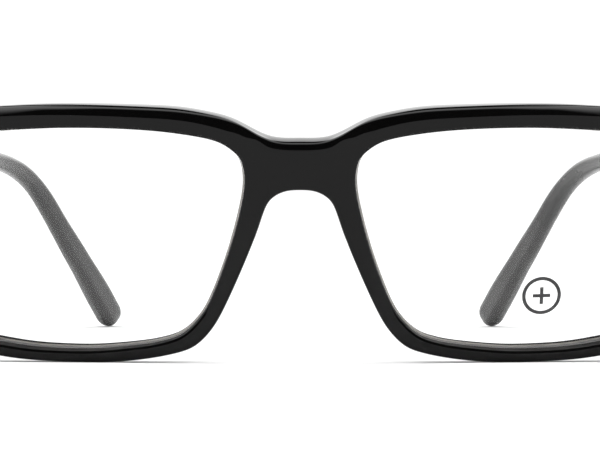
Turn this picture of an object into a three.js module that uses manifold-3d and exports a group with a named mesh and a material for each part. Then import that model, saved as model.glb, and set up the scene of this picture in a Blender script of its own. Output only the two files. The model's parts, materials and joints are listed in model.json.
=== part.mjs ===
// A pair of rectangular acetate eyeglasses with demo lenses, standing open on its rims and temple tips.
// Frame: +X is the wearer's left, the front faces -Y, +Z is up, millimetres.
// Pieces: front, two lenses, two nose pads, two five-barrel hinges with their screws and pins,
// and two temples with wire cores.
import * as THREE from 'three';
import { mergeVertices } from 'three/addons/utils/BufferGeometryUtils.js';
import Module from 'manifold-3d';

const wasm = await Module();
wasm.setup();

// ---------- Driving dimensions ----------

const GAP = 0.3; // clearance between neighbouring pieces

// The front leans forward when the glasses stand on their rims.
const LEAN = THREE.MathUtils.degToRad(13.5);
const FRONT_THICKNESS = 4.3;
const FRONT_CHAMFER = 0.5;
const BRIDGE_TOP = 36.85;
const BRIDGE_ARCH = 28.9;

// Each half of the front is a shallow bowl that follows its lens, and wraps back to the temple.
const LENS_RADIUS = 132;
const LENS_CENTRE = { x: 36, up: 22 };
const FACE_WRAP = 0.0875;
const BRIDGE_HALF = 9;

// The lens lies in a V groove in the rim.
const LENS_THICKNESS = 1.6;
const LENS_DEPTH = 2.3; // from the front face to the middle of the lens
const LENS_TIP = 0.5; // how far the lens edge reaches into the groove
const GROOVE_TIP = 0.9;
const GROOVE_MOUTH = -0.5; // where the sides of the groove's V would meet the opening, inside it
const GROOVE_HALF = 1.3;
const EDGE_FLAT = 0.2;

// The longest edge a plate may have before it is bent to the face.
const FRONT_EDGE = 7.5;
const LENS_EDGE = 9;

// The hinges: a plate let into the end piece, a plate let into the temple, one upright screw.
const PIVOT = { x: 66.0, y: 7.75, z: 34.9 };
const BUTT_Y = 7.6; // back face of the end piece, which the temple closes against
const LAND_Y = 5.6; // back face beside it, where the hinge plate lies
const END_HEIGHT = 9.6;
const END_OUTER = 71.7;
const BUTT_INNER = 67.8;
const LAND_OUTER = BUTT_INNER + 0.5;
const LAND_INNER = 63.9;
const END_ROOT_Y = 1.6; // where the end block starts, inside the front
const KNUCKLE_RADIUS = 1.4;
const KNUCKLE_HEIGHT = 0.9;
const KNUCKLE_PITCH = KNUCKLE_HEIGHT + GAP;
const SCREW_RADIUS = 0.7;
const SCREW_HEAD = { radius: 1.15, height: 0.7, slotHalf: 0.2, slotDepth: 0.3 };
const PLATE_THICKNESS = 1.0;
const FRONT_WEB_HALF = 1.1; // the neck between the front's plate and each of its knuckles
const TEMPLE_WEB = { inner: PIVOT.x - 0.9, length: 2.6, depth: 0.2 };
const OVERCUT = 1; // how far a cutting tool stands out of the piece it cuts
const PIN = { radius: 0.45, length: 2.0, headRadius: 0.75, headHeight: 0.3 };

// The temples.
const TEMPLE_FRONT_Y = BUTT_Y + GAP;
const CORE_RADIUS = 0.6;
const CORE_END = 0.93; // share of the temple's length that its wire core reaches

// ---------- Materials ----------

const black = (name) => new THREE.MeshStandardMaterial({ name, color: 0x101010, roughness: 0.12 });
const steel = () => new THREE.MeshStandardMaterial({ color: 0xb9b9b6, roughness: 0.3, metalness: 1 });
const clear = () => new THREE.MeshStandardMaterial({
  color: 0xf4f6f5, roughness: 0.03, transparent: true, opacity: 0.25,
});

// ---------- Solid helpers ----------

// A closed geometry with shared corners and no collapsed faces, carrying positions only.
function welded(geometry) {
  geometry.deleteAttribute('normal');
  geometry.deleteAttribute('uv');
  const merged = mergeVertices(geometry, 1e-4);
  const corners = Array.from(merged.index.array);
  const kept = [];
  while (corners.length > 0) {
    const face = corners.splice(-3);
    if (new Set(face).size === 3) kept.push(...face);
  }
  merged.setIndex(kept);
  return merged;
}

// The same surface with every edge longer than the given length halved until none is.
function refined(geometry, longest) {
  const { position } = geometry.attributes;
  const points = Array.from({ length: position.count }, (_, i) => (
    new THREE.Vector3().fromBufferAttribute(position, i)
  ));
  const middles = new Map();
  const middleOf = (a, b) => {
    const key = `${Math.min(a, b)} ${Math.max(a, b)}`;
    if (!middles.has(key)) middles.set(key, points.push(points[a].clone().lerp(points[b], 0.5)) - 1);
    return middles.get(key);
  };
  const corners = Array.from(geometry.index.array);
  const waiting = [];
  while (corners.length > 0) waiting.push(corners.splice(-3));
  const faces = [];
  while (waiting.length > 0) {
    const [a, b, c] = waiting.pop();
    const edges = [[a, b, c], [b, c, a], [c, a, b]];
    const lengths = edges.map(([from, to]) => points[from].distanceTo(points[to]));
    const length = Math.max(...lengths);
    if (length <= longest) {
      faces.push(a, b, c);
    } else {
      const [from, to, apex] = edges[lengths.indexOf(length)];
      const middle = middleOf(from, to);
      waiting.push([from, middle, apex], [middle, to, apex]);
    }
  }
  const fine = new THREE.BufferGeometry().setFromPoints(points);
  fine.setIndex(faces);
  return fine;
}

function solid(geometry) {
  const closed = welded(geometry.clone());
  return new wasm.Manifold(new wasm.Mesh({
    numProp: 3,
    vertProperties: new Float32Array(closed.attributes.position.array),
    triVerts: new Uint32Array(closed.index.array),
  }));
}

function geometryOf(manifold) {
  const mesh = manifold.getMesh();
  const geometry = new THREE.BufferGeometry();
  geometry.setAttribute('position', new THREE.BufferAttribute(new Float32Array(mesh.vertProperties), 3));
  geometry.setIndex(new THREE.BufferAttribute(new Uint32Array(mesh.triVerts), 1));
  return geometry;
}

const joined = (first, ...rest) => rest.reduce((whole, piece) => whole.add(piece), first);
const cut = (first, ...tools) => tools.reduce((whole, tool) => whole.subtract(tool), first);

// The same solid on the wearer's right: mirrored in X with its faces turned back outwards.
function mirrored(geometry) {
  const copy = geometry.clone().scale(-1, 1, 1);
  const corners = copy.index.array;
  for (let i = 0; i < corners.length; i += 3) {
    [corners[i + 1], corners[i + 2]] = [corners[i + 2], corners[i + 1]];
  }
  return copy;
}

function boxBetween(low, high) {
  const size = high.map((value, axis) => value - low[axis]);
  const middle = high.map((value, axis) => (value + low[axis]) / 2);
  return new THREE.BoxGeometry(...size).translate(...middle);
}

// An upright cylinder around (x, y), between two heights.
function post(radius, x, y, bottom, top) {
  return new THREE.CylinderGeometry(radius, radius, top - bottom, 16)
    .rotateX(Math.PI / 2)
    .translate(x, y, (bottom + top) / 2);
}

// A closed skin over rings of equal length, each ring anticlockwise seen from beyond the last ring.
function loft(rings) {
  const sides = rings[0].length;
  const points = rings.flat();
  const faces = [];
  for (let r = 0; r < rings.length - 1; r += 1) {
    for (let i = 0; i < sides; i += 1) {
      const a = r * sides + i;
      const b = r * sides + ((i + 1) % sides);
      faces.push(a, b, b + sides, a, b + sides, a + sides);
    }
  }
  const last = (rings.length - 1) * sides;
  for (let i = 1; i < sides - 1; i += 1) {
    faces.push(0, i + 1, i, last, last + i, last + i + 1);
  }
  const geometry = new THREE.BufferGeometry().setFromPoints(points);
  geometry.setIndex(faces);
  return geometry;
}

// A smooth closed loop through the given points, with the same number of steps between each pair.
function smoothLoop(points, steps) {
  const count = points.length * steps;
  const curve = new THREE.CatmullRomCurve3(points.map(([x, up]) => new THREE.Vector3(x, up, 0)), true);
  const loop = curve.getPoints(count).slice(0, count).map(({ x, y }) => new THREE.Vector2(x, y));
  return THREE.ShapeUtils.isClockWise(loop) ? loop.reverse() : loop;
}

// ---------- The curved face ----------

// How far the front face lies behind the leaning plane through the middle of the lenses.
function faceDepth(x, up) {
  const away = Math.abs(x);
  const across = Math.max(away, BRIDGE_HALF) - LENS_CENTRE.x;
  const rise = up - LENS_CENTRE.up;
  const bowl = FACE_WRAP * across + (across ** 2 + rise ** 2) / (2 * LENS_RADIUS);
  if (away >= BRIDGE_HALF) return bowl;
  const slope = FACE_WRAP + (BRIDGE_HALF - LENS_CENTRE.x) / LENS_RADIUS;
  return bowl + slope * (away ** 2 - BRIDGE_HALF ** 2) / (2 * BRIDGE_HALF);
}

// How strongly the edges turn with the curve of the face. The upper and lower edges turn more the nearer
// they are to the temples; the outer ends don't turn sideways, so they meet the temples flush.
const EDGE_TURN = { reach: 50, most: 1.15 };
const END_TURN = { from: 58, to: 70 };

// The direction from the face into the front, as [across, back, up].
function inward(x, up) {
  const away = Math.abs(x);
  const slope = FACE_WRAP + (Math.max(away, BRIDGE_HALF) - LENS_CENTRE.x) / LENS_RADIUS;
  const sideways = slope * Math.min(away / BRIDGE_HALF, 1) * Math.sign(x);
  const upwards = (up - LENS_CENTRE.up) / LENS_RADIUS;
  const flush = 1 - THREE.MathUtils.smoothstep(away, END_TURN.from, END_TURN.to);
  const turn = Math.min(away / EDGE_TURN.reach, EDGE_TURN.most);
  return new THREE.Vector3(-sideways * flush, 1, -upwards * turn).normalize();
}

// A place on the front: across, up along its lean, and deep behind its face.
function onFace(x, up, depth) {
  const direction = inward(x, up);
  const back = faceDepth(x, up) + depth * direction.y;
  const rise = up + depth * direction.z;
  return new THREE.Vector3(
    x + depth * direction.x,
    back * Math.cos(LEAN) - rise * Math.sin(LEAN),
    back * Math.sin(LEAN) + rise * Math.cos(LEAN),
  );
}

// A flat outline made into a plate that follows the face, with an edge of its own on both sides.
function facePlate(shape, depth, thickness, { edge, reach, longest }) {
  const flat = new THREE.ExtrudeGeometry(shape, {
    depth: thickness - 2 * edge,
    bevelThickness: edge,
    bevelSize: reach.out - reach.in,
    bevelOffset: reach.in,
    bevelSegments: 1,
  });
  flat.translate(0, 0, edge);
  const fine = refined(welded(flat), longest);
  const places = fine.attributes.position;
  for (let i = 0; i < places.count; i += 1) {
    const place = onFace(places.getX(i), places.getY(i), depth + thickness - places.getZ(i));
    places.setXYZ(i, place.x, place.y, place.z);
  }
  return fine;
}

// ---------- Outlines of the front (across, up), wearer's left half ----------

const HALF_OUTLINE = [
  [0, BRIDGE_TOP], [4.8, 37.3], [9.7, 39.9], [14.5, 41.46], [19.0, 42.3], [24.1, 42.72],
  [34.0, 43.05], [42.0, 42.98], [48.7, 42.57], [60.0, 41.65], [67.5, 40.9], [70.8, 39.7],
  [72.0, 36.8], [72.0, 31.5], [70.8, 28.6], [68.2, 26.6], [66.6, 22.5], [65.4, 16.0], [63.6, 8.5],
  [61.8, 4.4], [58.4, 1.6], [53.8, 0.45], [47.5, -0.35], [39.9, -0.6], [32.3, -0.5], [24.8, 0.3],
  [19.8, 1.4], [17.2, 2.6], [14.65, 5.25], [12.65, 8.65], [9.55, 15.55], [6.9, 22.25],
  [5.78, 25.55], [4.7, 27.4], [2.5, 28.65], [0, BRIDGE_ARCH],
];

const OPENING = [
  [8.87, 30.5], [9.55, 33.9], [11.0, 35.55], [13.3, 36.95], [18.1, 38.1], [24.1, 38.85], [33.8, 39.25],
  [43.6, 38.95], [52.0, 38.2], [58.6, 37.3], [61.8, 36.1], [63.2, 33.8], [63.4, 30.5], [62.7, 23.5],
  [61.3, 14.5], [59.9, 8.3], [58.3, 5.2], [55.4, 3.2], [50.0, 2.09], [44.9, 1.56], [39.8, 1.44],
  [34.8, 1.54], [29.8, 2.0], [24.6, 2.72], [22.3, 3.26], [20.2, 4.0], [18.2, 5.4], [16.65, 7.1],
  [15.47, 8.8], [13.83, 12.3], [11.38, 19.05], [9.55, 25.7],
];

const mirror = ([x, up]) => [-x, up];
const WHOLE_OUTLINE = [...HALF_OUTLINE, ...HALF_OUTLINE.slice(1, -1).reverse().map(mirror)];
const OUTLINE_STEPS = 2; // chords between neighbouring points of an outline
const leftOpening = smoothLoop(OPENING, OUTLINE_STEPS);
const rightOpening = leftOpening.map(({ x, y }) => new THREE.Vector2(-x, y));

// ---------- Front ----------

// The end block: the land that holds the hinge plate, and beside it the step that meets the temple.
function endBlock() {
  const bottom = PIVOT.z - END_HEIGHT / 2;
  const top = PIVOT.z + END_HEIGHT / 2;
  const land = boxBetween([LAND_INNER, END_ROOT_Y, bottom], [LAND_OUTER, LAND_Y, top]);
  const butt = boxBetween([BUTT_INNER, END_ROOT_Y, bottom], [END_OUTER, BUTT_Y, top]);
  return joined(solid(land), solid(butt));
}

const FRONT_PLATE = { inner: 64.1, outer: 67.1, half: 4.3 };
const FRONT_PIN = { x: 65.2, rise: 3.45 };

function frontPlatePocket() {
  const { inner, outer, half } = FRONT_PLATE;
  return solid(boxBetween(
    [inner - GAP - OVERCUT, LAND_Y - PLATE_THICKNESS - GAP, PIVOT.z - half - GAP],
    [outer + GAP, LAND_Y + OVERCUT, PIVOT.z + half + GAP],
  ));
}

// A cylinder along Y, for the pins that hold the hinge plate to the front.
function rodAlongY(radius, x, z, from, to) {
  return new THREE.CylinderGeometry(radius, radius, to - from, 12).translate(x, (from + to) / 2, z);
}

function frameFront() {
  const shape = new THREE.Shape(smoothLoop(WHOLE_OUTLINE, OUTLINE_STEPS));
  shape.holes.push(new THREE.Path(leftOpening), new THREE.Path(rightOpening));
  const plate = solid(facePlate(shape, 0, FRONT_THICKNESS, {
    edge: FRONT_CHAMFER,
    reach: { in: -FRONT_CHAMFER, out: 0 },
    longest: FRONT_EDGE,
  }));
  const sides = [endBlock(), solid(mirrored(geometryOf(endBlock())))];
  const grooveTool = facePlate(new THREE.Shape(leftOpening), LENS_DEPTH - GROOVE_HALF, 2 * GROOVE_HALF, {
    edge: GROOVE_HALF - EDGE_FLAT / 2,
    reach: { in: GROOVE_MOUTH, out: GROOVE_TIP },
    longest: LENS_EDGE,
  });
  const pins = [-1, 1].map((end) => solid(rodAlongY(
    PIN.radius + GAP, FRONT_PIN.x, PIVOT.z + end * FRONT_PIN.rise, LAND_Y - PIN.length - GAP, LAND_Y,
  )));
  const tools = [solid(grooveTool), frontPlatePocket(), ...pins];
  const both = tools.flatMap((tool) => [tool, solid(mirrored(geometryOf(tool)))]);
  return geometryOf(cut(joined(plate, ...sides), ...both));
}

// ---------- Lenses ----------

function lens() {
  const edge = (LENS_THICKNESS - EDGE_FLAT) / 2;
  return facePlate(new THREE.Shape(leftOpening), LENS_DEPTH - LENS_THICKNESS / 2, LENS_THICKNESS, {
    edge,
    reach: { in: -GAP, out: LENS_TIP },
    longest: LENS_EDGE,
  });
}

// ---------- Nose pads ----------

// A long drop-shaped pad behind the inner rim, thickest below its middle.
const PAD_LOW = { x: 12.5, up: 10.4 };
const PAD_HIGH = { x: 7.2, up: 27.0 };
const PAD_WIDTH = 2.1;
const PAD_DEPTH = 4.4;
const PAD_SPREAD = 0.3; // how far the back of the pad leans away from the nose
const PAD_RINGS = 11;

function nosePad() {
  const rings = [];
  for (let r = 0; r < PAD_RINGS; r += 1) {
    const along = r / (PAD_RINGS - 1);
    const fullness = Math.sqrt(Math.max(1 - (2 * along - 1) ** 2, 0.03));
    const x = THREE.MathUtils.lerp(PAD_LOW.x, PAD_HIGH.x, along);
    const up = THREE.MathUtils.lerp(PAD_LOW.up, PAD_HIGH.up, along);
    const depth = PAD_DEPTH * fullness * (1.1 - 0.3 * along);
    const width = PAD_WIDTH * (0.55 + 0.45 * fullness) / 2;
    const spread = PAD_SPREAD * fullness;
    const base = FRONT_THICKNESS + GAP;
    const ring = [
      [-width, 0], [-width, depth * 0.4], [spread - width * 0.7, depth * 0.85], [spread, depth],
      [spread + width * 0.7, depth * 0.85], [width, depth * 0.4], [width, 0],
    ];
    rings.push(ring.map(([across, deep]) => onFace(x + across, up, base + deep)).reverse());
  }
  return loft(rings);
}

// ---------- Hinges ----------

// Knuckle number 0 is the lowest; even ones belong to the front, odd ones to the temple.
const KNUCKLES = [0, 1, 2, 3, 4];
const STACK_BOTTOM = PIVOT.z - (KNUCKLES.length * KNUCKLE_PITCH - GAP) / 2;
const knuckleBottom = (number) => STACK_BOTTOM + number * KNUCKLE_PITCH;

function hingeHalf(plate, numbers, webBetween) {
  const knuckles = numbers.flatMap((number) => {
    const bottom = knuckleBottom(number);
    const top = bottom + KNUCKLE_HEIGHT;
    return [
      solid(post(KNUCKLE_RADIUS, PIVOT.x, PIVOT.y, bottom, top)),
      solid(webBetween(bottom, top)),
    ];
  });
  const bore = post(SCREW_RADIUS + GAP, PIVOT.x, PIVOT.y, STACK_BOTTOM - OVERCUT, PIVOT.z + END_HEIGHT);
  return cut(joined(plate, ...knuckles), solid(bore));
}

function frontHinge() {
  const { inner, outer, half } = FRONT_PLATE;
  const plate = boxBetween(
    [inner, LAND_Y - PLATE_THICKNESS, PIVOT.z - half],
    [outer, LAND_Y, PIVOT.z + half],
  );
  const web = (bottom, top) => boxBetween(
    [PIVOT.x - FRONT_WEB_HALF, LAND_Y - PLATE_THICKNESS / 2, bottom],
    [PIVOT.x + FRONT_WEB_HALF, PIVOT.y, top],
  );
  const whole = hingeHalf(solid(plate), KNUCKLES.filter((number) => number % 2 === 0), web);
  const holes = [-1, 1].map((end) => solid(rodAlongY(
    PIN.radius + GAP, FRONT_PIN.x, PIVOT.z + end * FRONT_PIN.rise, 0, LAND_Y + OVERCUT,
  )));
  return geometryOf(cut(whole, ...holes));
}

const TEMPLE_INNER = PIVOT.x + 1.6;
const TEMPLE_PLATE = { from: TEMPLE_FRONT_Y + 1.0, to: TEMPLE_FRONT_Y + 10.0, half: 2.8 };
const TEMPLE_PIN_Y = [TEMPLE_FRONT_Y + 4.6, TEMPLE_FRONT_Y + 8.4];

function rodAlongX(radius, y, from, to) {
  return new THREE.CylinderGeometry(radius, radius, to - from, 12)
    .rotateZ(Math.PI / 2)
    .translate((from + to) / 2, y, PIVOT.z);
}

function templeHinge() {
  const { from, to, half } = TEMPLE_PLATE;
  const plate = boxBetween(
    [TEMPLE_INNER, from, PIVOT.z - half],
    [TEMPLE_INNER + PLATE_THICKNESS, to, PIVOT.z + half],
  );
  const web = (bottom, top) => boxBetween(
    [TEMPLE_WEB.inner, TEMPLE_FRONT_Y, bottom],
    [TEMPLE_INNER + TEMPLE_WEB.depth, TEMPLE_FRONT_Y + TEMPLE_WEB.length, top],
  );
  const whole = hingeHalf(solid(plate), KNUCKLES.filter((number) => number % 2 === 1), web);
  const holes = TEMPLE_PIN_Y.map((y) => solid(rodAlongX(PIN.radius + GAP, y, 0, END_OUTER)));
  return geometryOf(cut(whole, ...holes));
}

function hingeScrew() {
  const top = PIVOT.z - STACK_BOTTOM + PIVOT.z;
  const headBottom = top + GAP;
  const { radius, height, slotHalf, slotDepth } = SCREW_HEAD;
  const shank = post(SCREW_RADIUS, PIVOT.x, PIVOT.y, STACK_BOTTOM, headBottom + height / 2);
  const head = post(radius, PIVOT.x, PIVOT.y, headBottom, headBottom + height);
  const slot = boxBetween(
    [PIVOT.x - radius - OVERCUT, PIVOT.y - slotHalf, headBottom + height - slotDepth],
    [PIVOT.x + radius + OVERCUT, PIVOT.y + slotHalf, headBottom + height + OVERCUT],
  );
  return geometryOf(cut(joined(solid(shank), solid(head)), solid(slot)));
}

// A domed pin along -Z with its head's underside at the origin.
function pinBlank() {
  const { radius, length, headRadius, headHeight } = PIN;
  const profile = [
    [0, -length], [radius, -length], [radius, 0], [headRadius, 0], [headRadius * 0.7, headHeight * 0.8],
    [0, headHeight],
  ].map(([x, y]) => new THREE.Vector2(x, y));
  return welded(new THREE.LatheGeometry(profile, 12).rotateX(Math.PI / 2));
}

// ---------- Temples ----------

// The middle line of a temple: straight back from the hinge, then down and in round the ear.
const TEMPLE_LINE = new THREE.CatmullRomCurve3([
  [69.6, TEMPLE_FRONT_Y, 34.9], [69.6, 16, 34.9], [69.5, 24, 35.05], [68.4, 42, 35.6], [66.0, 64, 36.5],
  [63.3, 82, 36.68], [60.25, 93.8, 35.15], [57.0, 102.2, 30.95], [53.35, 110.8, 23.1], [49.75, 120.4, 14.95],
  [46.25, 130.2, 6.7], [43.95, 137.1, 1.05],
].map((place) => new THREE.Vector3(...place)), false, 'centripetal');
const TEMPLE_LENGTH = TEMPLE_LINE.getLength();

// Values that ease from one station to the next along the temple.
function eased(stations, distance) {
  const next = stations.findIndex(([at]) => at > distance);
  if (next === -1) return stations.at(-1)[1];
  const [from, low] = stations[next - 1];
  const [to, high] = stations[next];
  return THREE.MathUtils.lerp(low, high, THREE.MathUtils.smoothstep(distance, from, to));
}
const TEMPLE_HEIGHTS = [
  [0, 9.6], [14, 9.2], [50, 5.4], [76, 3.5], [92, 4.0], [104, 4.4], [120, 5.3], [136, 6.2],
];
const TEMPLE_THICKNESSES = [[0, 4.0], [20, 4.0], [76, 3.3], [110, 3.6], [134, 4.5]];
const TEMPLE_TWISTS = [[0, 0], [78, 0], [105, 0.24], [134, 0.24]];
const TIP_ROUND = 4.7; // length of the rounded end
const TIP_RISE = 0.67; // how far the tip ends above the middle line
const TIP_FULLNESS = 3; // how bluntly the end is rounded
const TIP_THINNING = 0.8;
const TIP_SHARES = [0.35, 0.65, 0.85, 0.97];
const TEMPLE_STEP = 4.2;
const TEMPLE_CORNER = 0.8;
const STRAIGHT_END = 8; // the temple runs straight back as far as this, past its hinge knuckles

// The section of the temple or its core at a distance from the front, seen from the tip.
function templeRing(distance, height, thickness, corner, rise = 0) {
  const share = Math.min(distance / TEMPLE_LENGTH, 1);
  const middle = TEMPLE_LINE.getPointAt(share);
  const along = TEMPLE_LINE.getTangentAt(share);
  if (distance < STRAIGHT_END) along.set(0, 1, 0);
  const outward = new THREE.Vector3().crossVectors(along, new THREE.Vector3(0, 0, 1)).normalize();
  outward.applyAxisAngle(along, eased(TEMPLE_TWISTS, distance));
  const upward = new THREE.Vector3().crossVectors(outward, along);
  const w = thickness / 2;
  const h = height / 2;
  const c = Math.min(corner, w * 0.6, h * 0.6);
  const outline = [
    [w, c - h], [w, h - c], [w - c, h], [c - w, h], [-w, h - c], [-w, c - h], [c - w, -h], [w - c, -h],
  ];
  return outline.reverse().map(([out, up]) => middle.clone()
    .addScaledVector(outward, out)
    .addScaledVector(upward, up + rise));
}

function templeStations(last, step) {
  const count = Math.ceil(last / step);
  return Array.from({ length: count + 1 }, (_, i) => last * i / count);
}

function templeBlank() {
  const straight = templeStations(TEMPLE_LENGTH - TIP_ROUND, TEMPLE_STEP);
  const round = TIP_SHARES.map((share) => TEMPLE_LENGTH - TIP_ROUND * (1 - share));
  return loft([...straight, ...round].map((distance) => {
    const into = Math.max(distance - (TEMPLE_LENGTH - TIP_ROUND), 0) / TIP_ROUND;
    const closing = into ** TIP_FULLNESS;
    const height = eased(TEMPLE_HEIGHTS, distance) * Math.sqrt(1 - closing);
    const thickness = eased(TEMPLE_THICKNESSES, distance) * Math.sqrt(1 - TIP_THINNING * closing);
    return templeRing(distance, height, thickness, TEMPLE_CORNER, TIP_RISE * into ** 2);
  }));
}

const CORE_START = 11.5; // behind the hinge plate
const CHANNEL_LEAD = 3.5;
const CORE_STEP = 6;

function coreRod(radius, from, to) {
  const stations = templeStations(to - from, CORE_STEP).map((distance) => distance + from);
  return loft(stations.map((distance) => templeRing(distance, 2 * radius, 2 * radius, radius)));
}

function temple() {
  const { from, to, half } = TEMPLE_PLATE;
  const pocket = boxBetween(
    [TEMPLE_INNER - OVERCUT, from - GAP, PIVOT.z - half - GAP],
    [TEMPLE_INNER + PLATE_THICKNESS + GAP, to + GAP, PIVOT.z + half + GAP],
  );
  const webPocket = boxBetween(
    [TEMPLE_INNER - OVERCUT, TEMPLE_FRONT_Y - OVERCUT, PIVOT.z - half - GAP],
    [TEMPLE_INNER + TEMPLE_WEB.depth + GAP, from + OVERCUT, PIVOT.z + half + GAP],
  );
  const pins = TEMPLE_PIN_Y.map((y) => solid(rodAlongX(
    PIN.radius + GAP, y, TEMPLE_INNER - OVERCUT, TEMPLE_INNER + PIN.length + GAP,
  )));
  // The wire is driven in from the plate's pocket, so its channel opens there.
  const channel = coreRod(CORE_RADIUS + GAP, CORE_START - CHANNEL_LEAD, TEMPLE_LENGTH * CORE_END + GAP);
  return geometryOf(cut(solid(templeBlank()), solid(pocket), solid(webPocket), ...pins, solid(channel)));
}

const templeCore = () => welded(coreRod(CORE_RADIUS, CORE_START, TEMPLE_LENGTH * CORE_END));

// ---------- Assembly ----------

const glasses = new THREE.Group();

function add(parent, name, geometry, material, place = [0, 0, 0]) {
  const mesh = new THREE.Mesh(geometry, material);
  mesh.name = name;
  mesh.position.set(...place);
  parent.add(mesh);
  return mesh;
}

// Adds a left-hand geometry, or its mirror image, to a group that stands at a left-hand place.
function addSided(parent, side, name, geometry, material, origin = [0, 0, 0]) {
  const moved = geometry.clone().translate(...origin.map((value) => -value));
  add(parent, `${name}_${side.name}`, side.sign > 0 ? moved : mirrored(moved), material);
}

const SIDES = [{ name: 'left', sign: 1 }, { name: 'right', sign: -1 }];

add(glasses, 'frame_front', frameFront(), black('front acetate'));

const pivotPlace = [PIVOT.x, PIVOT.y, PIVOT.z];
for (const side of SIDES) {
  addSided(glasses, side, 'lens', lens(), clear());
  addSided(glasses, side, 'nose_pad', nosePad(), black('pad acetate'));

  const hinge = new THREE.Group();
  hinge.position.set(side.sign * PIVOT.x, PIVOT.y, PIVOT.z);
  glasses.add(hinge);
  addSided(hinge, side, 'front_hinge', frontHinge(), steel(), pivotPlace);
  addSided(hinge, side, 'hinge_screw', hingeScrew(), steel(), pivotPlace);
  addSided(hinge, side, 'temple', temple(), black('temple acetate'), pivotPlace);
  addSided(hinge, side, 'temple_core', templeCore(), steel(), pivotPlace);
  addSided(hinge, side, 'temple_hinge', templeHinge(), steel(), pivotPlace);

  for (const [label, end] of [['lower', -1], ['upper', 1]]) {
    const pin = pinBlank().rotateX(-Math.PI / 2);
    const place = [
      side.sign * (FRONT_PIN.x - PIVOT.x),
      LAND_Y + GAP - PIVOT.y,
      end * FRONT_PIN.rise,
    ];
    add(hinge, `front_pin_${label}_${side.name}`, pin, steel(), place);
  }
  TEMPLE_PIN_Y.forEach((y, i) => {
    const pin = pinBlank().rotateY(-side.sign * Math.PI / 2);
    const place = [side.sign * (TEMPLE_INNER - GAP - PIVOT.x), y - PIVOT.y, 0];
    add(hinge, `temple_pin_${i === 0 ? 'front' : 'back'}_${side.name}`, pin, steel(), place);
  });
}

// Stand the glasses on the floor, centred over the origin.
glasses.updateMatrixWorld(true);
const box = new THREE.Box3().setFromObject(glasses, true);
glasses.position.set(0, -(box.min.y + box.max.y) / 2, -box.min.z);

export default glasses;
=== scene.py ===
"""Rectangular black acetate eyeglasses with demo lenses, in the CAD frame.

Lengths inside the making functions are millimetres in the design's own axes (across, back, up); row()
turns them into metres in the row frame. Each sub-part has its own function and rides on its CAD body.
"""

import json
import math

import bmesh
import bpy
import numpy as np
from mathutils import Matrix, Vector
from mathutils.geometry import delaunay_2d_cdt


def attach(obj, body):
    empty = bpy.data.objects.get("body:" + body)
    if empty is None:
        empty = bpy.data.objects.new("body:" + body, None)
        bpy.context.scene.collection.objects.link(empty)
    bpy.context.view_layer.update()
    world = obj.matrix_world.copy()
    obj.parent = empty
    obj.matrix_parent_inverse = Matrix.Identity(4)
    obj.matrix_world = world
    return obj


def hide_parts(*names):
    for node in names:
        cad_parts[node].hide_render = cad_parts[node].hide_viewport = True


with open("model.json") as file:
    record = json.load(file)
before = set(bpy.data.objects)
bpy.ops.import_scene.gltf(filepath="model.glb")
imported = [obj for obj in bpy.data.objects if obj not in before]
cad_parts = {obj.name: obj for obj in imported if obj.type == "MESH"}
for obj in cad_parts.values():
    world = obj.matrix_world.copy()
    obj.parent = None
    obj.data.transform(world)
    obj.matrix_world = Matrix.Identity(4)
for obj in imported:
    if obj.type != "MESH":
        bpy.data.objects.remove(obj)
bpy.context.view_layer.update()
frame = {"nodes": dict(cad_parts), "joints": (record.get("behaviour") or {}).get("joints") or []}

# ---------- Driving dimensions (mm) ----------

MM = 0.001
LEAN = math.radians(13.5)  # the front leans forward on its rims
FRONT_THICKNESS = 4.3
LENS_RADIUS = 132.0
LENS_CENTRE = (36.0, 22.0)
FACE_WRAP = 0.0875
BRIDGE_HALF = 9.0
END_TURN = (58.0, 70.0)
EDGE_TURN_REACH = 50.0
EDGE_TURN_MOST = 1.15
PIVOT = np.array([66.0, 7.75, 34.9])
LENS_DEPTH = 2.3
LENS_THICKNESS = 1.4
TEMPLE_FRONT = 7.75

JOINTS = {joint["name"]: joint for joint in frame["joints"]}
# Where the design's own origin lies in the row frame, in metres.
DESIGN_ORIGIN = np.array(JOINTS["left_temple_fold"]["pos_m"]) - PIVOT * MM

SIDES = {"left": 1, "right": -1}
TEMPLE_BODY = {"left": "temple_l", "right": "temple_r"}


def row(places):
    """Design places in millimetres as row places in metres."""
    return np.asarray(places, float) * MM + DESIGN_ORIGIN


# ---------- Curves ----------


def spline(points, steps, closed=True):
    """A smooth cubic curve through the points, with the same number of steps in each span."""
    knots = np.asarray(points, float)
    count = len(knots)
    ahead = np.roll(knots, -1, 0) if closed else knots[1:]
    spans = np.sqrt(np.linalg.norm(ahead - knots[: len(ahead)], axis=1))
    system = np.zeros((count, count))
    wanted = np.zeros_like(knots)
    for i in range(count):
        if not closed and i in (0, count - 1):
            system[i, i] = 1
            continue
        before, after = spans[i - 1], spans[i]
        last, following = (i - 1) % count, (i + 1) % count
        system[i, last] += before
        system[i, i] += 2 * (before + after)
        system[i, following] += after
        wanted[i] = 6 * ((knots[following] - knots[i]) / after - (knots[i] - knots[last]) / before)
    bend = np.linalg.solve(system, wanted)
    share = np.linspace(0, 1, steps, endpoint=False)[:, None]
    stretches = []
    for i, span in enumerate(spans):
        j = (i + 1) % count
        cubic = ((1 - share) ** 3 - (1 - share)) * bend[i] + (share**3 - share) * bend[j]
        stretches.append((1 - share) * knots[i] + share * knots[j] + cubic * span**2 / 6)
    curve = np.concatenate(stretches)
    return curve if closed else np.vstack([curve, knots[-1]])


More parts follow.
